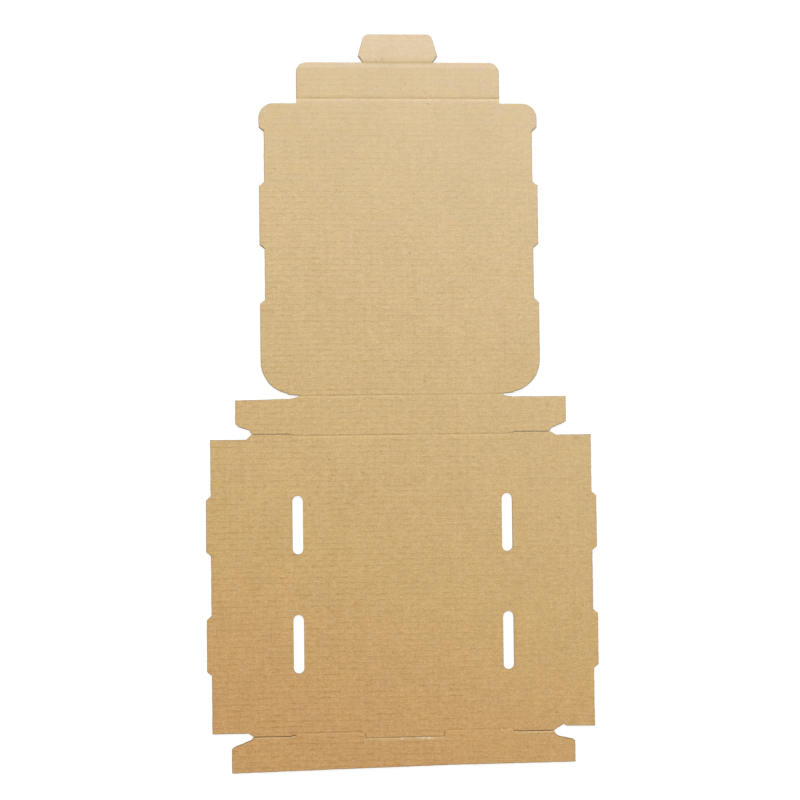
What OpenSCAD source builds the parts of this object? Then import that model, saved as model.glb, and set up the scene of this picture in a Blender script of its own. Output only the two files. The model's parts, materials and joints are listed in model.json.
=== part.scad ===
// Die-cut blank of a shipping box, lying flat with its inside face up.
// X runs across the base, Y runs from the front wall towards the lid, Z is up.
// The origin is the centre of the base panel's underside.

/* [Board] */
// Thickness of the corrugated board
board_t = 1.4; // [1:0.1:2]
// Width of the cut between neighbouring panels
kerf = 0.3; // [0.2:0.05:0.5]
// Extra depth of a scored groove below the middle of the board
groove_relief = 0.05; // [0.02:0.01:0.1]

/* [Base] */
// Length of the base between its back and front creases
base_l = 162.3; // [150:0.1:220]
// Width of the base between its side creases
base_w = 122; // [100:0.5:180]
// How far the side walls run past the back and front creases
wall_overrun = 1.1; // [0.8:0.05:2]
// Run over which the cut steps out from the crease to the side wall's end
overrun_ramp = 1.5; // [1:0.1:4]

/* [Walls] */
// Height of the back wall between its creases
back_h = 22.2; // [16:0.1:50]
// How much lower the top crease of a side wall is than the lid's hinge
side_drop = 0.8; // [0.7:0.05:2]
// Room between the folded front wall's free edge and the side walls' tops, at its left end
front_gap_left = 0.1; // [0.1:0.05:2]
// The same room at the kink in that edge, where the front wall is lowest
front_gap_kink = 1.9; // [0.1:0.05:3]
// The same room at its right end
front_gap_right = 2; // [0.1:0.05:3]
// Distance of that kink from the middle, towards the right
front_kink_x = 22; // [4:0.5:40]
// Room on each side of a folded ear inside the double side wall
ear_gap = 0.15; // [0.1:0.01:0.4]
// Room between a folded lining's ends and the back and front walls
lining_end_gap = 0.15; // [0.1:0.05:3]
// Extra room at the back end of the left lining, which was cut a little short
left_lining_short = 0.8; // [0:0.1:3]
// Room between a folded lining's lower edge and the base
lining_foot_gap = 1.3; // [0.5:0.1:3]

/* [Ears] */
// Reach of a back ear from its crease
back_ear_reach = 31.7; // [20:0.1:36]
// Reach of the left front ear from its crease
left_front_ear_reach = 35; // [20:0.1:36]
// Reach of the right front ear from its crease
right_front_ear_reach = 34.4; // [20:0.1:36]
// Room between a folded back ear's top edge and the side wall's top
ear_top_gap = 0.1; // [0.1:0.05:2]
// How much narrower the left back ear is at its free end
left_ear_taper = 0.7; // [0:0.1:3]
// Slant run at the hinge end, where the back wall's top edge drops to the ear
hinge_slant = 0.6; // [0.3:0.1:1.5]

/* [Locking tabs] */
// Distance between the middles of a lining's two tabs
tab_pitch = 65; // [55:0.5:75]
// Length of a tab where it joins the lining
tab_l = 32.4; // [24:0.1:36]
// Length of the slant at each end of a tab
tab_slant = 2.2; // [1:0.1:4]
// Room between a folded tab's tip and the surface under the box
tab_tip_gap = 0.1; // [0.05:0.05:0.4]
// Room at each end of a slot beside the tab that passes it
slot_end_gap = 0.9; // [0.3:0.05:2]
// Width of a slot
slot_w = 5.8; // [4.6:0.1:8]
// How far a slot's middle lies inward of the folded lining's middle
slot_inset = 0.3; // [0.1:0.1:1]

/* [Lid] */
// Room between a folded lid flap and the lining beside it
lid_side_gap = 0.2; // [0.1:0.05:1]
// Room between the lid's front flap and the front wall it covers
front_flap_gap = 0.3; // [0.2:0.05:1]
// Room between a folded lid flap's long edge and the base
lid_flap_foot_gap = 0.7; // [0.2:0.05:2]
// How far the front end of a lid flap lies behind the lid's front crease
lid_flap_front_gap = 2.6; // [2.4:0.1:5]
// How far the rear end of a lid flap lies in front of the lid's hinge
lid_flap_rear_gap = 0.85; // [0.8:0.05:3]
// Radius of a lid flap's front corner
lid_front_r = 8.2; // [3:0.1:12]
// Radius of a lid flap's rear corner
lid_rear_r = 18; // [6:0.1:19]
// Depth of the two shallow notches in a lid flap's long edge
notch_depth = 2.8; // [1:0.1:6]
// Slant of the notch ends along the edge
notch_slant = 2.2; // [0.5:0.1:4]
// Distance between the front notch and the round of the front corner
notch_front_gap = 5.1; // [1:0.1:12]

/* [Front flap and tuck tab] */
// How much narrower the front flap is than the lid at each side
front_flap_inset = 0; // [0:0.1:4]
// Radius of the front flap's free corners
front_flap_r = 5.6; // [2:0.1:12]
// Room between the folded tuck tab and the base
tuck_gap = 0.6; // [0.3:0.1:2]
// Room between the folded tuck tab and the edge of the cut it passes
tuck_cut_gap = 0.3; // [0.2:0.05:1]
// Length of the tuck tab
tuck_l = 15.7; // [10:0.1:24]
// Width of the tuck tab at its crease
tuck_neck_w = 39; // [20:0.1:60]
// Width of the tuck tab at its widest
tuck_w = 44.2; // [24:0.1:66]
// Distance from the crease to the tuck tab's widest place
tuck_shoulder = 3.6; // [3:0.1:6]
// Width of the tuck tab at its free edge, corners included
tuck_tip_w = 39; // [16:0.1:60]
// Radius of the tuck tab's free corners
tuck_r = 3.5; // [1:0.1:5]
// Width of the cut that the tuck tab passes, along the front crease
lock_w = 44.4; // [26:0.1:64]
// How much each end of that cut slants inward
lock_slant = 0.9; // [0:0.1:3]

/* [Hidden] */

KRAFT = [0.80, 0.66, 0.46];
KRAFT_DARK = [0.74, 0.59, 0.39];
ARC_STEPS = 10;
OVER = 1;

// Outer corners of the four ears: how far in from the ear's end, and how far from the crease
BACK_LEFT_NOSE = [[8.8, 1.5], [7.6, 3.4], [1.8, 5.3], [0, 7.2]];
BACK_RIGHT_NOSE = [[9.2, 1.6], [8.2, 2.9], [0.9, 6.1], [0, 6.7]];
FRONT_LEFT_NOSE = [[11.8, 2.3], [1.2, 6.5], [0, 7.6]];
FRONT_RIGHT_NOSE = [[11.8, 2.3], [9.6, 4.3], [1.2, 6.2], [0, 7.4]];
// Small nick at the front end of the right lining: how far out from its crease, and how deep
LINING_NICK = [[1.9, 1.2], [3.9, 0.2]];

// The groove's half width where it meets the inside face
groove_w = board_t / 2 + groove_relief;

// Lines across the sheet, from the front wall to the tuck tab
back_y = base_l / 2;
hinge_y = back_y + back_h;
lid_l = base_l + board_t + front_flap_gap;
lid_front_y = hinge_y + lid_l;
front_flap_l = back_h - board_t - tuck_gap;
tuck_y = lid_front_y + front_flap_l;
wall_end_y = back_y + wall_overrun;
ear_edge = wall_overrun + kerf;

// Lines along the sheet, from the middle outwards
side_x = base_w / 2;
ear_x = side_x - board_t - ear_gap;
side_h = back_h - side_drop;
top_room = side_h - board_t / 2;
ear_top = top_room - ear_top_gap;
side_top_w = 2 * (board_t + ear_gap);
side_top_x = side_x + side_h;
lining_x = side_top_x + side_top_w;
lining_h = side_h - board_t / 2 - lining_foot_gap;
lining_end_x = lining_x + lining_h;
lining_end_y = back_y - board_t / 2 - lining_end_gap;
tab_reach = board_t + lining_foot_gap - tab_tip_gap;
folded_lining_x = side_x - side_top_w;
lid_x = folded_lining_x - board_t - lid_side_gap;
lid_flap_w = back_h - board_t / 2 - lid_flap_foot_gap;
front_flap_x = lid_x - front_flap_inset;
left_end_x = ear_x + left_front_ear_reach;
right_end_x = ear_x + right_front_ear_reach;
tab_pass_l = tab_l - 2 * tab_slant * lining_foot_gap / tab_reach;
slot_l = tab_pass_l + 2 * slot_end_gap;
ramp_x = side_x + overrun_ramp;

// Where the tuck tab passes between the front wall and the base
lock_cut = 1.5 * board_t + tuck_gap + tuck_cut_gap;
lip_l = lock_cut - kerf;
lip_x = lock_w / 2 - kerf;
lock_tip_x = lock_w / 2 - lock_slant;
lip_tip_x = lip_x - lock_slant;

function arc(centre, r, from, to) =
    [for (i = [0 : ARC_STEPS]) let (a = from + (to - from) * i / ARC_STEPS)
        centre + r * [cos(a), sin(a)]];

// How far the end of the base or a side wall lies past the crease, at x across the sheet
function overrun(x) = wall_overrun * min(1, (x - ear_x) / (ramp_x - ear_x));

// Height of the front wall at x across the sheet, taken along its slightly uneven free edge
function front_h(x) = top_room - lookup(x, [[-left_end_x, front_gap_left],
    [front_kink_x, front_gap_kink], [right_end_x, front_gap_right]]);

// A panel cut from the board
module board(outline) {
    linear_extrude(board_t)
        polygon(outline);
}

// The groove scored into the inside face along a crease, run past both ends
module groove(from, to) {
    run = to - from;
    translate([from[0], from[1], 0])
        rotate([0, 0, atan2(run[1], run[0])])
            translate([-OVER, 0, 0])
                rotate([90, 0, 90])
                    linear_extrude(norm(run) + 2 * OVER)
                        polygon([[0, board_t / 2 - groove_relief],
                            [groove_w + OVER, board_t + OVER],
                            [-groove_w - OVER, board_t + OVER]]);
}

module right_to_left() {
    mirror([1, 0, 0])
        children();
}

module slot_shape(x, y) {
    round_y = (slot_l - slot_w) / 2;
    translate([x, y, -OVER])
        linear_extrude(board_t + 2 * OVER)
            polygon(concat(arc([0, round_y], slot_w / 2, 0, 180),
                arc([0, -round_y], slot_w / 2, 180, 360)));
}

module base() {
    half = [[lip_tip_x, -back_y - lip_l], [lip_x, -back_y], [ear_x, -back_y],
        [side_x, -back_y - overrun(side_x)], [side_x, back_y + overrun(side_x)], [ear_x, back_y]];
    other = [for (i = [len(half) - 1 : -1 : 0]) [-half[i][0], half[i][1]]];
    color(KRAFT)
        difference() {
            board(concat(half, other));
            groove([-ear_x, back_y], [ear_x, back_y]);
            groove([-ear_x, -back_y], [-lip_x - OVER, -back_y]);
            groove([lip_x + OVER, -back_y], [ear_x, -back_y]);
            for (side = [-1, 1]) {
                groove([side * side_x, -wall_end_y], [side * side_x, wall_end_y]);
                for (end = [-1, 1])
                    slot_shape(side * (folded_lining_x - slot_inset), end * tab_pitch / 2);
            }
        }
}

module back_wall() {
    top_y = back_y + ear_top;
    half = [[ear_x, back_y], [ear_x, top_y], [lid_x + hinge_slant, top_y], [lid_x, hinge_y]];
    other = [for (i = [len(half) - 1 : -1 : 0]) [-half[i][0], half[i][1]]];
    color(KRAFT)
        difference() {
            board(concat(half, other));
            groove([-ear_x, back_y], [ear_x, back_y]);
            groove([-lid_x, hinge_y], [lid_x, hinge_y]);
            for (side = [-1, 1])
                groove([side * ear_x, back_y], [side * ear_x, hinge_y]);
        }
}

// An ear on the right-hand side, with its crease at the wall's end and y counted from the base
module ear(reach, root_top, end_top, nose) {
    end_x = ear_x + reach;
    root_edge = board_t / 2 + kerf / 2;
    outline = concat([[ear_x, root_edge], [ramp_x, ear_edge]],
        [for (p = nose) [end_x - p[0], max(p[1], ear_edge)]],
        [[end_x, end_top], [ear_x, root_top]]);
    difference() {
        board(outline);
        groove([ear_x, 0], [ear_x, root_top]);
    }
}

module right_back_ear() {
    color(KRAFT_DARK)
        translate([0, back_y, 0])
            ear(back_ear_reach, ear_top, ear_top, BACK_RIGHT_NOSE);
}

module left_back_ear() {
    color(KRAFT_DARK)
        right_to_left()
            translate([0, back_y, 0])
                ear(back_ear_reach, ear_top, ear_top - left_ear_taper, BACK_LEFT_NOSE);
}

module right_front_ear() {
    color(KRAFT_DARK)
        right_to_left()
            rotate([0, 0, 180])
                translate([0, back_y, 0])
                    ear(right_front_ear_reach, front_h(ear_x), front_h(right_end_x),
                        FRONT_RIGHT_NOSE);
}

module left_front_ear() {
    color(KRAFT_DARK)
        rotate([0, 0, 180])
            translate([0, back_y, 0])
                ear(left_front_ear_reach, front_h(-ear_x), front_h(-left_end_x), FRONT_LEFT_NOSE);
}

module lid() {
    color(KRAFT)
        difference() {
            board([[lid_x, hinge_y], [lid_x, lid_front_y], [-lid_x, lid_front_y], [-lid_x, hinge_y]]);
            groove([-lid_x, hinge_y], [lid_x, hinge_y]);
            groove([-lid_x, lid_front_y], [lid_x, lid_front_y]);
            for (side = [-1, 1])
                groove([side * lid_x, hinge_y], [side * lid_x, lid_front_y]);
        }
}

module right_lid_flap() {
    edge_x = lid_x + lid_flap_w;
    notch_x = edge_x - notch_depth;
    rear_y = hinge_y + lid_flap_rear_gap;
    front_y = lid_front_y - lid_flap_front_gap;
    notch_l = tab_l - 2 * tab_slant;
    notch_end_y = front_y - lid_front_r - notch_front_gap;
    pair_y = notch_end_y - notch_slant - notch_l / 2 - tab_pitch / 2;
    notches = [for (end = [-1, 1], half = [-1, 1], deep = [0, 1])
        let (inner = half < 0 ? deep : 1 - deep)
            [inner == 1 ? notch_x : edge_x,
                pair_y + end * tab_pitch / 2 + half * (notch_l / 2 + (inner == 1 ? 0 : notch_slant))]];
    color(KRAFT_DARK)
        difference() {
            board(concat([[lid_x, rear_y]],
                arc([edge_x - lid_rear_r, rear_y + lid_rear_r], lid_rear_r, -90, 0),
                notches,
                arc([edge_x - lid_front_r, front_y - lid_front_r], lid_front_r, 0, 90),
                [[lid_x, front_y]]));
            groove([lid_x, hinge_y], [lid_x, lid_front_y]);
        }
}

module left_lid_flap() {
    right_to_left()
        right_lid_flap();
}

module lid_front_flap() {
    arc_x = front_flap_x - front_flap_r;
    arc_y = tuck_y - front_flap_r;
    color(KRAFT)
        difference() {
            board(concat([[-front_flap_x, lid_front_y], [front_flap_x, lid_front_y]],
                arc([arc_x, arc_y], front_flap_r, 0, 90),
                arc([-arc_x, arc_y], front_flap_r, 90, 180)));
            groove([-front_flap_x, lid_front_y], [front_flap_x, lid_front_y]);
            groove([-tuck_neck_w / 2, tuck_y], [tuck_neck_w / 2, tuck_y]);
        }
}

module tuck_tab() {
    arc_x = tuck_tip_w / 2 - tuck_r;
    arc_y = tuck_y + tuck_l - tuck_r;
    lean = atan2((tuck_w - tuck_tip_w) / 2, tuck_l - tuck_shoulder);
    color(KRAFT_DARK)
        difference() {
            board(concat([[-tuck_neck_w / 2, tuck_y], [tuck_neck_w / 2, tuck_y],
                    [tuck_w / 2, tuck_y + tuck_shoulder]],
                arc([arc_x, arc_y], tuck_r, lean, 90),
                arc([-arc_x, arc_y], tuck_r, 90, 180 - lean),
                [[-tuck_w / 2, tuck_y + tuck_shoulder]]));
            groove([-tuck_neck_w / 2, tuck_y], [tuck_neck_w / 2, tuck_y]);
        }
}

module front_wall() {
    lock_x = lock_w / 2;
    color(KRAFT)
        difference() {
            board([[-ear_x, -back_y], [-lock_x, -back_y], [-lock_tip_x, -back_y - lock_cut],
                [lock_tip_x, -back_y - lock_cut], [lock_x, -back_y], [ear_x, -back_y],
                [ear_x, -back_y - front_h(ear_x)], [front_kink_x, -back_y - front_h(front_kink_x)],
                [-ear_x, -back_y - front_h(-ear_x)]]);
            for (side = [-1, 1]) {
                groove([side * lock_x, -back_y], [side * ear_x, -back_y]);
                groove([side * ear_x, -back_y], [side * ear_x, -back_y - back_h]);
            }
        }
}

module right_side_wall() {
    color(KRAFT_DARK)
        difference() {
            board([[side_x, -back_y - overrun(side_x)], [ramp_x, -wall_end_y],
                [side_top_x, -wall_end_y], [side_top_x, wall_end_y], [ramp_x, wall_end_y],
                [side_x, back_y + overrun(side_x)]]);
            groove([side_x, -wall_end_y], [side_x, wall_end_y]);
            groove([side_top_x, -wall_end_y], [side_top_x, wall_end_y]);
        }
}

module left_side_wall() {
    right_to_left()
        right_side_wall();
}

// The strip over the right side wall, where the lining's back end is given
module side_top(back_end_y) {
    color(KRAFT)
        difference() {
            board([[side_top_x, -wall_end_y], [lining_x, -lining_end_y], [lining_x, back_end_y],
                [side_top_x, wall_end_y]]);
            groove([side_top_x, -wall_end_y], [side_top_x, wall_end_y]);
            groove([lining_x, -wall_end_y], [lining_x, wall_end_y]);
        }
}

module right_side_top() {
    side_top(lining_end_y);
}

module left_side_top() {
    right_to_left()
        side_top(lining_end_y - left_lining_short);
}

// The lining of the right side wall, with its two locking tabs, its back end and the outline of
// its front end
module lining(back_end_y, front_end) {
    tab_x = lining_end_x + tab_reach;
    tabs = [for (end = [-1, 1], half = [-1, 1], out = [0, 1])
        let (tip = half < 0 ? out : 1 - out)
            [tip == 1 ? tab_x : lining_end_x,
                end * tab_pitch / 2 + half * (tab_l / 2 - (tip == 1 ? tab_slant : 0))]];
    color(KRAFT_DARK)
        difference() {
            board(concat(front_end, [[lining_end_x, -lining_end_y]], tabs,
                [[lining_end_x, back_end_y], [lining_x, back_end_y]]));
            groove([lining_x, -wall_end_y], [lining_x, wall_end_y]);
        }
}

module right_side_lining() {
    nick = [for (p = LINING_NICK) [lining_x + p[0], p[1] - lining_end_y]];
    lining(lining_end_y, concat([[lining_x, -lining_end_y]], nick));
}

module left_side_lining() {
    right_to_left()
        lining(lining_end_y - left_lining_short, [[lining_x, -lining_end_y]]);
}

base();
back_wall();
left_back_ear();
right_back_ear();
lid();
left_lid_flap();
right_lid_flap();
lid_front_flap();
tuck_tab();
front_wall();
left_front_ear();
right_front_ear();
left_side_wall();
right_side_wall();
left_side_top();
right_side_top();
left_side_lining();
right_side_lining();
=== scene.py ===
import json
import math

import bmesh
import bpy
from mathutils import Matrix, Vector
from mathutils import noise as wander

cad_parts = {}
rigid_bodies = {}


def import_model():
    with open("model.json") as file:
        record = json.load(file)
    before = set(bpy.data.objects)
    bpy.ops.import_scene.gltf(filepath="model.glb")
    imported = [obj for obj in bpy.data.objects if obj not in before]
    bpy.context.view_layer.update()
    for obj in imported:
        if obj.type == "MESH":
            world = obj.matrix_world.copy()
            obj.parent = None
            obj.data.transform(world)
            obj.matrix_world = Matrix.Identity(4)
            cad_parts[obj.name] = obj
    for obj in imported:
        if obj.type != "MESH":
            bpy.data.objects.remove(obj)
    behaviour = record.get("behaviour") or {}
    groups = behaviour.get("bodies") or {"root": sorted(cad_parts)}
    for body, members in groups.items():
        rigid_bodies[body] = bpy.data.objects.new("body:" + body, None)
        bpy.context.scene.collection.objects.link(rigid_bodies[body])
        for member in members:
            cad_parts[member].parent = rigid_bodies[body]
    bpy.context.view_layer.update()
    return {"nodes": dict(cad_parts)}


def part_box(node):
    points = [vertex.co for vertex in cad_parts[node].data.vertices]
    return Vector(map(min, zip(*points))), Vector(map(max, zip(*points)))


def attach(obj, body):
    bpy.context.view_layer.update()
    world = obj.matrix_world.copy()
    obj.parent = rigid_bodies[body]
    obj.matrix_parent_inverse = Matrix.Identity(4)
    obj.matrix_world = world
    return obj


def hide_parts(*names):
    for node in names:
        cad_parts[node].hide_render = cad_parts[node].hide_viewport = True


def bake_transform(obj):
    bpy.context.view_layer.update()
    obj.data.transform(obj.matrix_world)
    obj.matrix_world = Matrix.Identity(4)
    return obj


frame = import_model()

MM = 0.001
BOARD = 1.4 * MM
LINER = 0.22 * MM
MEDIUM = 0.16 * MM
FLUTE = 3.116 * MM
FLUTE_LINE = 0.5 * MM
TUNNEL_LENGTH = 240 * MM

# Places on the sheet, from part.scad
WALL_END = 82.25 * MM
HINGE = 103.35 * MM
LIP = -83.5 * MM
EAR_FOOT = 60.5 * MM
FLAP_CREASE = 56.3 * MM
FLAP_CURVE = 68.5 * MM
NECK = 19.5 * MM

# Cut edges: the solids' kerf, what is left of it here, how they wander and how their rims round
KERF = 0.3 * MM
SLIT = 0.04 * MM
WANDER = 0.16 * MM
LONGEST_EDGE = 2.8 * MM
RIM = 0.6 * MM
SLOT_RIM = 0.35 * MM

# Creases: half the strip's width, half the groove's width and the length of a strip's faces
CREASE = 1.2 * MM
GROOVE = 0.8 * CREASE
CREASE_STEP = 3 * MM
CREASE_ROWS = 6

SOFT_ANGLE = math.radians(12)
WELD = 1e-6


# Camera, over the base and looking down at the photograph's slight tilt

bpy.ops.object.camera_add(
    location=(-0.0284162, 0.0879920, 0.6121460),
    rotation=[math.radians(turn) for turn in (1.192777, -2.573104, -0.652282)],
)
camera = bpy.context.object
camera.data.lens = 50
camera.data.sensor_width = 36
bpy.context.scene.camera = camera


# Nodes of a material, written as plain expressions

class Value:
    """A socket's output that adds, subtracts and multiplies with numbers and others."""

    def __init__(self, tree, socket=None):
        self.tree = tree
        self.socket = socket

    def node(self, kind, settings=None, output=0, **sockets):
        made = self.tree.nodes.new("ShaderNode" + kind)
        for name, setting in (settings or {}).items():
            if name == "stops":
                ramp = made.color_ramp
                while len(ramp.elements) < len(setting):
                    ramp.elements.new(1)
                for element, (place, colour) in zip(ramp.elements, setting):
                    element.position = place
                    element.color = (*colour, 1)
            else:
                setattr(made, name, setting)
        for name, given in sockets.items():
            key = int(name[1:]) if name[1:].isdigit() else name.replace("_", " ")
            socket = made.inputs[key]
            if isinstance(given, Value):
                self.tree.links.new(given.socket, socket)
            else:
                socket.default_value = given
        return Value(self.tree, made.outputs[output])

    def maths(self, operation, *values):
        sockets = {f"i{number}": value for number, value in enumerate(values)}
        return self.node("Math", {"operation": operation}, **sockets)

    def __add__(self, other):
        return self.maths("ADD", self, other)

    def __sub__(self, other):
        return self.maths("SUBTRACT", self, other)

    def __rsub__(self, other):
        return self.maths("SUBTRACT", other, self)

    def __mul__(self, other):
        return self.maths("MULTIPLY", self, other)

    __radd__ = __add__
    __rmul__ = __mul__


def noise(place, stretch, detail=2.0):
    """Cloudy noise from 0 to 1 with so many lumps a metre along X, Y and Z."""
    spread = place.node("VectorMath", {"operation": "MULTIPLY"}, i0=place, i1=stretch)
    return place.node("TexNoise", {"noise_dimensions": "3D"}, Vector=spread, Scale=1.0,
                      Detail=detail, Roughness=0.5)


def step(value, low, high):
    """0 below low, 1 above high and soft between them."""
    return value.node("MapRange", {"interpolation_type": "SMOOTHSTEP"}, Value=value,
                      From_Min=low, From_Max=high)


def step_line(value, low, high):
    """Rises evenly from 0 at low to 1 at high."""
    return value.node("MapRange", {"clamp": True}, Value=value, From_Min=low, From_Max=high)


def between(value, low, high, soft):
    """1 from low to high and 0 outside, soft by so much at each end."""
    return step(value, low - soft, low + soft) * step(value, high + soft, high - soft)


def mix(amount, one, other, way="MIX"):
    """The second colour over the first, where amount is 1."""
    return amount.node("Mix", {"data_type": "RGBA", "blend_type": way}, output=2,
                       i0=amount, i6=one, i7=other)


def kraft_board():
    material = bpy.data.materials.new("kraft_board")
    material.use_nodes = True
    tree = material.node_tree
    shader = tree.nodes["Principled BSDF"]
    place = Value(tree).node("Attribute", {"attribute_name": "place"}, output="Vector")
    x = place.node("SeparateXYZ", Vector=place)
    y = place.node("SeparateXYZ", output=1, Vector=place)
    z = place.node("SeparateXYZ", output=2, Vector=place)

    # Browner at the front wall and paler at the tuck tab: the kraft's brown with a painted sheen that
    # grows towards the lid end
    tone_and_sheen = place.node("ValToRGB", {"stops": [
        (0.0, (0.562, 0.328, 0.131)),
        (0.25, (0.597, 0.397, 0.168)),
        (0.5, (0.627, 0.446, 0.215)),
        (0.875, (0.662, 0.503, 0.291)),
        (1.0, (0.682, 0.527, 0.320)),
    ]}, Fac=step_line(y + x * 0.34, -0.1, 0.3))
    # Painted sheen, paler again just below the tuck tab's crease and on the tab
    paler = step(y, 283.3 * MM, 285.3 * MM) * 0.8 + step(y, 290 * MM, 300 * MM) * 0.2
    tone_and_sheen = mix(paler, tone_and_sheen, (0.722, 0.572, 0.380, 1))

    # Cloudy patches, fibres and the paper's grain
    smoother = 0.5 + 0.5 * step(y, 0.29, 0.17)
    stronger = smoother * (1.08 - 0.6 * step(x, -0.06, 0.11)) * (1 - y * 0.9)
    patches = noise(place, (38, 30, 30), 3)
    grain = noise(place, (1200, 1100, 1000), 1)
    fibres = noise(place, (230, 1350, 900), 1)
    streaks = noise(place, (600, 24, 24), 1)
    shade = 0.992 + (patches - 0.5) * 0.10
    fine = (grain - 0.5) * 0.40 + (fibres - 0.5) * 0.22 + (streaks - 0.5) * 0.08
    fine = fine * smoother

    # The flutes show through the liner as dark lines that wander and break up: painted shade in the
    # washboard's narrow valleys, with a painted lit slope beside each
    drift = (noise(place, (230, 90, 60), 2) - 0.5) * 0.0010 + (noise(place, (22, 8, 8), 1) - 0.5) * 0.0018
    turn = (y + x * 0.004 + drift - FLUTE_LINE) * (2 * math.pi / FLUTE)
    wave = turn.maths("COSINE", turn)
    slope = turn.maths("SINE", turn)
    line = step(wave, 0.5, 1.0)
    broken = noise(place, (220, 400, 60), 1) * 5.4 - 1.8
    flute_shade = line * broken.maths("MAXIMUM", broken, 0.12) * stronger
    # Painted light and shade on the two slopes of each flute
    fine = fine + slope * stronger * 0.005

    # Two faint belt marks along the sheet
    for belt in (-12.9 * MM, 17.5 * MM):
        shade = shade + between(x, belt - 0.7 * MM, belt + 0.7 * MM, 0.6 * MM) * 0.012

    # A few dark specks and pale flecks
    specks = step(noise(place, (620, 520, 500), 1), 0.755, 0.80)
    hairs = step(noise(place, (420, 1150, 600), 1), 0.70, 0.78)
    flecks = step(noise(place, (400, 520, 430), 1), 0.765, 0.80)
    shade = shade - specks * 0.32 - hairs * 0.16 + flecks * 0.12

    colour = place.node("VectorMath", {"operation": "SCALE"}, i0=tone_and_sheen, i3=shade)
    tint = mix(noise(place, (190, 190, 60), 2), (1.03, 0.99, 0.89, 1), (0.97, 1.01, 1.11, 1))
    colour = place.node("VectorMath", {"operation": "MULTIPLY"}, i0=colour, i1=tint)
    # The grain with the flutes' painted slope light and shade, added as even grey
    pepper = place.node("VectorMath", {"operation": "SCALE"}, i0=(0.63, 0.51, 0.33), i3=fine)
    colour = place.node("VectorMath", {"operation": "ADD"}, i0=colour, i1=pepper)
    # Painted shade along the flute lines
    colour = mix(flute_shade * 0.36, colour, (0.80, 0.75, 0.67, 1), "MULTIPLY")

    # The scores of the front flap and the tuck tab are browner on their far side, paler nearer: painted
    # shade and a painted highlight on the two sides of each groove
    across = x.maths("ABSOLUTE", x)
    along = y.maths("ABSOLUTE", y)
    depth = BOARD - z
    upper = step(depth, MM, 0.6 * MM)
    neck = step(across, 20.2 * MM, 18.8 * MM)
    # Painted shade on the far slope of the tab's and the flap's grooves
    far = step(y, 290.8 * MM, 287.9 * MM) * step(y, 286.9 * MM, 287.6 * MM) * neck
    far = far + step(y, 270.4 * MM, 267.9 * MM) * step(y, 266.9 * MM, 267.5 * MM) * 0.6
    colour = mix(far * upper, colour, (0.95, 0.92, 0.82, 1), "MULTIPLY")
    # The tab's score line: the pressed board's darker colour and painted shade in its groove
    score_line_shade = between(y, 286.4 * MM, 287.8 * MM, 0.35 * MM) * neck
    colour = mix(score_line_shade * upper, colour, (0.86, 0.84, 0.76, 1), "MULTIPLY")
    # Painted highlight on the lit near side of the front flap's score
    near = between(y, 264.9 * MM, 266.9 * MM, 0.5 * MM)
    colour = mix(near * upper, colour, (1.035, 1.05, 1.12, 1), "MULTIPLY")

    # The crushed rim of a cut edge is darker and greyer, partly the crushed fibres' own colour and partly
    # painted shade on the rounded rim; where a slit is closed the rim gets painted light instead
    rim = step(depth, 0.02 * MM, 0.24 * MM) * step(z, 0.02 * MM, 0.25 * MM)
    slit = between(along, 81.4 * MM, 84.8 * MM, 0.3 * MM) * step(across, 83.5 * MM, 82.0 * MM)
    slit = slit * upper
    # Painted shade, with the crushed fibres' greyer colour, on the rims of cut edges
    colour = mix(rim * (0.8 - slit * 0.8), colour, (0.42, 0.39, 0.40, 1), "MULTIPLY")
    # Painted light on a closed slit's rims, lifting the shade in its narrow groove
    colour = mix(rim * slit, colour, (1.12, 1.13, 1.16, 1), "MULTIPLY")

    # Torn pale fibres below the slits and along the ears' free edges
    frayed = step(noise(place, (330, 330, 30), 1), 0.42, 0.6)
    feet = between(y, -83.4 * MM, -82.3 * MM, 0.2 * MM) * between(across, 61 * MM, 82 * MM, MM)
    lock = between(y, -85.5 * MM, -83.9 * MM, 0.25 * MM) * step(across, 22.5 * MM, 21 * MM)
    patch = between(x, -3 * MM, 3 * MM, MM) * 0.5 + between(x, 6.5 * MM, 15.5 * MM, MM)
    tops = between(y, 101.3 * MM, 102.5 * MM, 0.2 * MM) * step(across, 60.8 * MM, 62.4 * MM)
    torn = (lock * patch + tops) * frayed * 0.7 + lock * 0.2 + feet * 0.2
    colour = mix(torn * upper, colour, (0.71, 0.60, 0.37, 1))
    height = wave * 0.2 - flute_shade * 0.27 + grain * 0.4 + fibres * 0.3
    bump = place.node("Bump", Strength=0.35, Distance=0.00012, Height=height)
    tree.links.new(colour.socket, shader.inputs["Base Color"])
    tree.links.new(bump.socket, shader.inputs["Normal"])
    shader.inputs["Roughness"].default_value = 0.82
    shader.inputs["Specular IOR Level"].default_value = 0.25
    return material


# Modelling

def alone(piece, mode="OBJECT"):
    """Leaves every other object unselected."""
    if bpy.context.object and bpy.context.object.mode != "OBJECT":
        bpy.ops.object.mode_set(mode="OBJECT")
    bpy.ops.object.select_all(action="DESELECT")
    piece.select_set(True)
    bpy.context.view_layer.objects.active = piece
    if mode != "OBJECT":
        bpy.ops.object.mode_set(mode=mode)


def choose(piece, part, wanted):
    """In edit mode, selects only the faces, edges or verts for which wanted is true."""
    shape = bmesh.from_edit_mesh(piece.data)
    bpy.ops.mesh.select_mode(type={"faces": "FACE", "edges": "EDGE", "verts": "VERT"}[part])
    bpy.ops.mesh.select_all(action="DESELECT")
    for element in getattr(shape, part):
        element.select_set(bool(wanted(element)))
    shape.select_flush_mode()
    bmesh.update_edit_mesh(piece.data)


def copy_of(piece, name):
    """A new object with its own copy of the piece's mesh."""
    made = bpy.data.objects.new(name, piece.data.copy())
    made.data.name = name
    bpy.context.scene.collection.objects.link(made)
    return made


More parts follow.
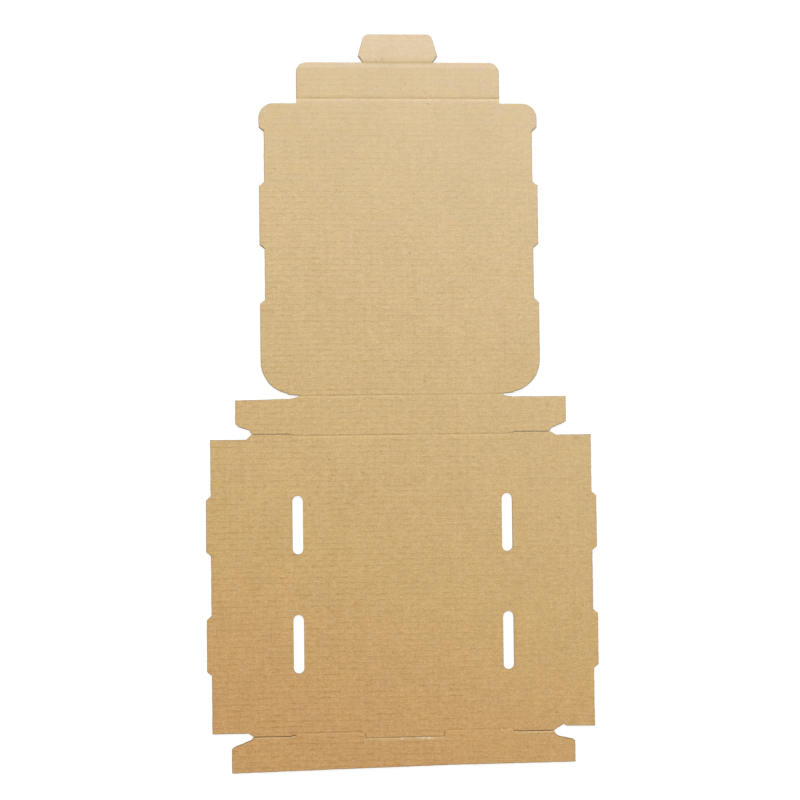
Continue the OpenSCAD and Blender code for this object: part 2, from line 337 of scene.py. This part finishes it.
def cut(piece, tool, operation="DIFFERENCE"):
    """Cuts the tool's shape out of the piece, or keeps only what lies inside it."""
    modifier = piece.modifiers.new("cut", "BOOLEAN")
    modifier.operation = operation
    modifier.solver = "EXACT"
    modifier.object = tool
    alone(piece)
    bpy.ops.object.modifier_apply(modifier="cut")


def block(low, high):
    """A box between two corners, as a tool to cut with."""
    bpy.ops.object.select_all(action="DESELECT")
    middle = [(a + b) / 2 for a, b in zip(low, high)]
    bpy.ops.mesh.primitive_cube_add(size=1, location=middle)
    made = bpy.context.object
    made.scale = [b - a for a, b in zip(low, high)]
    bpy.ops.object.transform_apply(location=True, rotation=True, scale=True)
    return made


def drop(*pieces):
    for piece in pieces:
        bpy.data.objects.remove(piece)


# Every crease: its name, the two panels, whether it is a line of constant x or y, that place,
# the stretch that each panel has along it, and how deep and how far off it the groove is pressed

class Crease:
    def __init__(self, child, parent, axis, place, stretches, other=None, depth=0.05, off=0):
        self.child = child
        self.parent = parent
        self.axis = axis
        self.place = place * MM
        self.side = 1 if place > 0 else -1
        self.stretches = {parent: stretches, child: other or stretches}
        self.depth = depth * MM
        self.groove = self.place + off * MM

    def blocks(self, node):
        """Boxes round the half of the crease that is on this panel."""
        way = -self.side if node == self.parent else self.side
        ends = sorted((self.place - way * MM, self.place + way * CREASE))
        made = []
        for along in self.stretches[node]:
            low = [0, 0, -MM]
            high = [0, 0, 3 * MM]
            low[self.axis], high[self.axis] = ends
            low[1 - self.axis], high[1 - self.axis] = (value * MM for value in along)
            made.append(block(low, high))
        return made


ACROSS = 1
ALONG = 0
creases = [
    Crease("back_wall", "base", ACROSS, 81.15, [(-59.45, 59.45)], depth=0.24),
    Crease("lid", "back_wall", ACROSS, 103.35, [(-60, 60)], depth=0.2, off=-0.25),
    Crease("lid_front_flap", "lid", ACROSS, 267.35, [(-60, 60)], depth=0.22, off=-0.25),
    Crease("tuck_tab", "lid_front_flap", ACROSS, 287.55, [(-19.5, 19.5)], [(-30, 30)],
           depth=0.14, off=-0.25),
    Crease("front_wall", "base", ACROSS, -81.15, [(22.2, 59.45), (-59.45, -22.2)],
           [(20, 59.45), (-59.45, -20)], depth=0.18, off=0.3),
]
for side, sign in (("left", -1), ("right", 1)):
    creases += [
        Crease(f"{side}_back_ear", "back_wall", ALONG, sign * 59.45, [(82.35, 110)]),
        Crease(f"{side}_front_ear", "front_wall", ALONG, sign * 59.45, [(-110, -82.35)]),
        Crease(f"{side}_lid_flap", "lid", ALONG, sign * 56.3, [(104.55, 264.75)]),
        Crease(f"{side}_side_wall", "base", ALONG, sign * 61, [(-90, 90)]),
        Crease(f"{side}_side_top", f"{side}_side_wall", ALONG, sign * 82.4, [(-90, 90)]),
        Crease(f"{side}_side_lining", f"{side}_side_top", ALONG, sign * 85.5, [(-90, 90)]),
    ]


def on_crease(point, node, slack=0.01 * MM):
    """Whether a point of this panel is on one of its creases, and not on a cut edge."""
    past = 0.4 * MM
    for crease in creases:
        if node in (crease.child, crease.parent):
            if abs(point[crease.axis] - crease.place) < slack:
                if node == crease.child:
                    return True
                for low, high in crease.stretches[node]:
                    if low * MM - past <= point[1 - crease.axis] <= high * MM + past:
                        return True
    return False


def middle_of(edge):
    return (edge.verts[0].co + edge.verts[1].co) / 2


def fill_corners(panel):
    """Fills the small gap that the base leaves beside the foot of each ear."""
    near = 0.2 * MM
    for across in (-1, 1):
        for along in (-1, 1):
            spot = Vector((across * 60.225 * MM, along * 81.625 * MM, 0))
            choose(panel, "edges", lambda edge: (middle_of(edge) - spot).length < near)
            bpy.ops.mesh.subdivide(number_cuts=1)
            choose(panel, "verts", lambda vertex: (vertex.co - spot).length < near)
            bpy.ops.transform.translate(value=(across * -0.7 * MM, along * 0.44 * MM, 0))


def split_edges(panel, node):
    """Breaks the long cut edges into short runs."""
    def long_cut(edge):
        long = edge.is_boundary and edge.calc_length() > LONGEST_EDGE
        return long and not on_crease(middle_of(edge), node)

    if node == "lid_front_flap":
        for side in (-1, 1):
            bpy.ops.mesh.select_all(action="SELECT")
            bpy.ops.mesh.bisect(plane_co=(side * NECK, 0, 0), plane_no=(1, 0, 0))
    for number in range(5):
        choose(panel, "edges", long_cut)
        if any(edge.select for edge in bmesh.from_edit_mesh(panel.data).edges):
            bpy.ops.mesh.subdivide(number_cuts=1)


def close_slits(panel, node):
    """Brings the edges of a slit together, because the board springs back behind the blade."""
    shape = bmesh.from_edit_mesh(panel.data)
    kerf = KERF - SLIT
    for vertex in shape.verts:
        across = abs(vertex.co.x)
        way = 1 if vertex.co.y > 0 else -1
        if node.endswith("_ear") and across > EAR_FOOT and abs(vertex.co.y) < WALL_END + 1.5 * MM:
            ramp = max(0, 62.5 * MM - across) * 0.36
            vertex.co.y = way * (WALL_END + SLIT - ramp)
        if node == "base" and vertex.co.y < LIP:
            vertex.co.y -= kerf
        if node == "base" and vertex.co.y < -81 * MM and 18 * MM < across < 23 * MM:
            vertex.co.x += math.copysign(kerf, vertex.co.x)
    bmesh.update_edit_mesh(panel.data)


def close_hinge_ends(panel, node):
    """Closes the wedge between the ear and the lid flap, at each end of the lid's hinge."""
    shape = bmesh.from_edit_mesh(panel.data)
    for vertex in shape.verts:
        across = abs(vertex.co.x)
        below = HINGE - vertex.co.y
        lowered = 0.8 * MM * (FLAP_CURVE - across) / (FLAP_CURVE - FLAP_CREASE)
        raised = 0.9 * MM * (EAR_FOOT - across) / (4 * MM)
        if node.endswith("_lid_flap") and below > -1.2 * MM and across < FLAP_CURVE:
            vertex.co.y -= lowered
        if node == "back_wall" and below < 1.8 * MM and across > 56.5 * MM:
            vertex.co.y += raised
        if node.endswith("back_ear") and below < 3 * MM and across < EAR_FOOT:
            vertex.co.y += raised
    bmesh.update_edit_mesh(panel.data)


def roughen(panel, node):
    """Lets the cut edges wander a little, as die-cut board does."""
    shape = bmesh.from_edit_mesh(panel.data)
    for vertex in shape.verts:
        slot = node == "base" and abs(vertex.co.y) < 75 * MM
        if vertex.is_boundary and not slot and not on_crease(vertex.co, node, 0.5 * MM):
            spot = vertex.co * 300
            vertex.co.x += WANDER * wander.noise(spot)
            vertex.co.y += WANDER * wander.noise(spot + Vector((7, 3, 5)))
    bmesh.update_edit_mesh(panel.data)


def flat_panel(node):
    """The node's outline as an even board, with its cut edges crushed a little."""
    panel = copy_of(frame["nodes"][node], node + "_board")
    alone(panel, "EDIT")
    bpy.ops.mesh.select_all(action="SELECT")
    bpy.ops.mesh.remove_doubles(threshold=WELD)
    choose(panel, "faces", lambda face: face.calc_center_median().z > WELD)
    bpy.ops.mesh.delete(type="FACE")
    bpy.ops.mesh.select_all(action="SELECT")
    bpy.ops.mesh.dissolve_limited(angle_limit=0.001)
    if node == "base":
        fill_corners(panel)
    split_edges(panel, node)
    close_slits(panel, node)
    close_hinge_ends(panel, node)
    roughen(panel, node)
    bpy.ops.mesh.select_all(action="SELECT")
    bpy.ops.mesh.extrude_region_move(TRANSFORM_OT_translate={"value": (0, 0, BOARD)})
    bpy.ops.mesh.select_all(action="SELECT")
    bpy.ops.mesh.normals_make_consistent(inside=False)

    def cut_rim(edge):
        lowest = min(vertex.co.z for vertex in edge.verts)
        if lowest < BOARD - WELD or len(edge.link_faces) != 2:
            return False
        upright = [abs(face.normal.z) < 0.5 for face in edge.link_faces]
        return any(upright) and not on_crease(middle_of(edge), node)

    choose(panel, "edges", cut_rim)
    rim = SLOT_RIM if node == "base" else RIM
    bpy.ops.mesh.bevel(offset=rim, segments=2, affect="EDGES", loop_slide=False)
    bpy.ops.object.mode_set(mode="OBJECT")
    return panel


def tunnels():
    """The air between the liners and the wavy medium, as one row of long bars to cut away."""
    reach = (BOARD - 2 * LINER - MEDIUM) / 2 + 0.02 * MM
    half = 0.42 * FLUTE
    bpy.ops.object.select_all(action="DESELECT")
    bpy.ops.mesh.primitive_grid_add(x_subdivisions=1, y_subdivisions=8, size=1)
    bar = bpy.context.object
    bar.scale = (TUNNEL_LENGTH, 2 * half, 1)
    bpy.ops.object.transform_apply(location=True, rotation=True, scale=True)
    alone(bar, "EDIT")
    bpy.ops.mesh.select_all(action="SELECT")
    bpy.ops.transform.translate(value=(0, 0, BOARD - LINER))
    bpy.ops.mesh.extrude_region_move(TRANSFORM_OT_translate={"value": (0, 0, -MEDIUM)})
    shape = bmesh.from_edit_mesh(bar.data)
    for vertex in shape.verts:
        if vertex.co.z < BOARD - LINER - MEDIUM / 2:
            turn = 2 * math.pi * vertex.co.y / FLUTE
            curve = BOARD / 2 - reach * math.cos(turn) + MEDIUM / 2
            vertex.co.z = min(BOARD - LINER, curve)
    bmesh.update_edit_mesh(bar.data)
    bpy.ops.mesh.select_all(action="SELECT")
    bpy.ops.mesh.remove_doubles(threshold=2 * WELD)
    bpy.ops.mesh.select_all(action="SELECT")
    bpy.ops.mesh.normals_make_consistent(inside=False)
    bpy.ops.object.mode_set(mode="OBJECT")
    return bar


def flute_row(bar, low_y, high_y):
    """Bars above and below the medium over one panel, in step with the whole sheet."""
    first = math.floor(low_y / FLUTE)
    count = math.ceil(high_y / FLUTE) - first + 1
    rows = []
    for upper in (True, False):
        row = copy_of(bar, "flutes")
        alone(row, "EDIT")
        bpy.ops.mesh.select_all(action="SELECT")
        if upper:
            shift = (first + 0.5) * FLUTE
        else:
            bpy.ops.transform.resize(value=(1, 1, -1), center_override=(0, 0, BOARD / 2))
            bpy.ops.mesh.normals_make_consistent(inside=False)
            shift = first * FLUTE
        bpy.ops.transform.translate(value=(0, shift, 0))
        bpy.ops.object.mode_set(mode="OBJECT")
        array = row.modifiers.new("row", "ARRAY")
        array.use_relative_offset = False
        array.use_constant_offset = True
        array.constant_offset_displace = (0, FLUTE, 0)
        array.count = count
        bpy.ops.object.modifier_apply(modifier="row")
        rows.append(row)
    return rows


def keep_place(piece):
    """Stores where each point lies on the flat sheet, so that the pattern follows a fold."""
    attribute = piece.data.attributes.new("place", "FLOAT_VECTOR", "POINT")
    for vertex in piece.data.vertices:
        attribute.data[vertex.index].vector = vertex.co


def dress(piece):
    """Gives a piece the board's material and soft shading."""
    piece.data.materials.clear()
    piece.data.materials.append(kraft)
    alone(piece)
    bpy.ops.object.shade_smooth_by_angle(angle=SOFT_ANGLE)


kraft = kraft_board()
bar = tunnels()
flat = {node: flat_panel(node) for node in frame["nodes"]}


# Creases: a narrow grooved strip between two panels

for crease in creases:
    halves = []
    for node in (crease.parent, crease.child):
        for tool in crease.blocks(node):
            half = copy_of(flat[node], "half")
            cut(half, tool, "INTERSECT")
            halves.append(half)
            drop(tool)
    strip = halves[0]
    alone(strip)
    for half in halves[1:]:
        half.select_set(True)
    bpy.ops.object.join()
    strip.name = crease.child + "_crease"
    strip.data.name = strip.name
    alone(strip, "EDIT")
    normal = [0, 0, 0]
    normal[crease.axis] = 1
    for number in range(1 - CREASE_ROWS, CREASE_ROWS):
        if number:
            spot = [0, 0, 0]
            spot[crease.axis] = crease.place + CREASE * number / CREASE_ROWS
            bpy.ops.mesh.select_all(action="SELECT")
            bpy.ops.mesh.bisect(plane_co=spot, plane_no=normal)
    normal = [0, 0, 0]
    normal[1 - crease.axis] = 1
    runs = sorted(run for stretch in crease.stretches[crease.parent] for run in stretch)
    low = max(runs[0] * MM, min(vertex.co[1 - crease.axis] for vertex in strip.data.vertices))
    spot = [0, 0, 0]
    for number in range(1, 100):
        spot[1 - crease.axis] = low + number * CREASE_STEP
        if spot[1 - crease.axis] < runs[-1] * MM:
            bpy.ops.mesh.select_all(action="SELECT")
            bpy.ops.mesh.bisect(plane_co=spot, plane_no=normal)
    bpy.ops.object.mode_set(mode="OBJECT")
    keep_place(strip)
    alone(strip, "EDIT")
    shape = bmesh.from_edit_mesh(strip.data)
    for vertex in shape.verts:
        if vertex.co.z > BOARD / 2:
            away = min(1, abs(vertex.co[crease.axis] - crease.groove) / GROOVE)
            uneven = 1 + 0.9 * wander.noise(vertex.co * 120 + Vector((0, 0, crease.place * 900)))
            vertex.co.z -= uneven * crease.depth * (1 + math.cos(math.pi * away)) / 2
    bmesh.update_edit_mesh(strip.data)
    bpy.ops.object.mode_set(mode="OBJECT")
    dress(strip)
    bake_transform(strip)


# Panels

for node, panel in flat.items():
    for crease in creases:
        if node in (crease.parent, crease.child):
            for tool in crease.blocks(node):
                cut(panel, tool)
                drop(tool)
    low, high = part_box(node)
    for row in flute_row(bar, low.y, high.y):
        cut(panel, row)
        drop(row)
    keep_place(panel)
    dress(panel)
    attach(panel, node)
    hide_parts(node)
drop(bar)


# Floor, lights and background

def ray(tree, kind):
    """1 for the rays of this kind."""
    return Value(tree, tree.nodes.new("ShaderNodeLightPath").outputs[kind])


def white_floor(strength, share):
    """A matt white that shadows fall on, with a share of plain white for camera and gloss."""
    material = bpy.data.materials.new("floor_white")
    material.use_nodes = True
    tree = material.node_tree
    shader = tree.nodes["Principled BSDF"]
    shader.inputs["Base Color"].default_value = (0.85, 0.85, 0.85, 1)
    shader.inputs["Roughness"].default_value = 0.9
    shader.inputs["Specular IOR Level"].default_value = 0
    glow = Value(tree).node("Emission", Color=(1, 1, 1, 1), Strength=strength)
    either = glow.maths("MAXIMUM", ray(tree, "Is Camera Ray"), ray(tree, "Is Glossy Ray"))
    mixed = glow.node("MixShader", i0=either * share, i1=Value(tree, shader.outputs[0]), i2=glow)
    tree.links.new(mixed.socket, tree.nodes["Material Output"].inputs["Surface"])
    return material


bpy.ops.object.select_all(action="DESELECT")
bpy.ops.mesh.primitive_plane_add(size=6, location=(0, 0.1, -0.4 * MM))
floor = bpy.context.object
floor.name = "floor"
bpy.ops.object.transform_apply(location=True, rotation=True, scale=True)
floor.data.materials.append(white_floor(strength=1.12, share=0.75))

world = bpy.context.scene.world or bpy.data.worlds.new("studio")
bpy.context.scene.world = world
world.use_nodes = True
tree = world.node_tree
background = tree.nodes["Background"]
background.inputs["Color"].default_value = (1, 1, 1, 1)
bright = ray(tree, "Is Camera Ray") * 0.5 + 0.5
tree.links.new(bright.socket, background.inputs["Strength"])

LAMP = Vector((0, 3.3, 3.6))
LIT_SPOT = Vector((0, 0.1, 0))
bpy.ops.object.light_add(type="AREA", location=LAMP)
lamp = bpy.context.object
lamp.name = "lamp_over_lid"
lamp.rotation_euler = (LIT_SPOT - LAMP).to_track_quat("-Z", "Y").to_euler()
lamp.data.shape = "SQUARE"
lamp.data.size = 2.4
lamp.data.energy = 175

bpy.context.scene.view_settings.view_transform = "Standard"
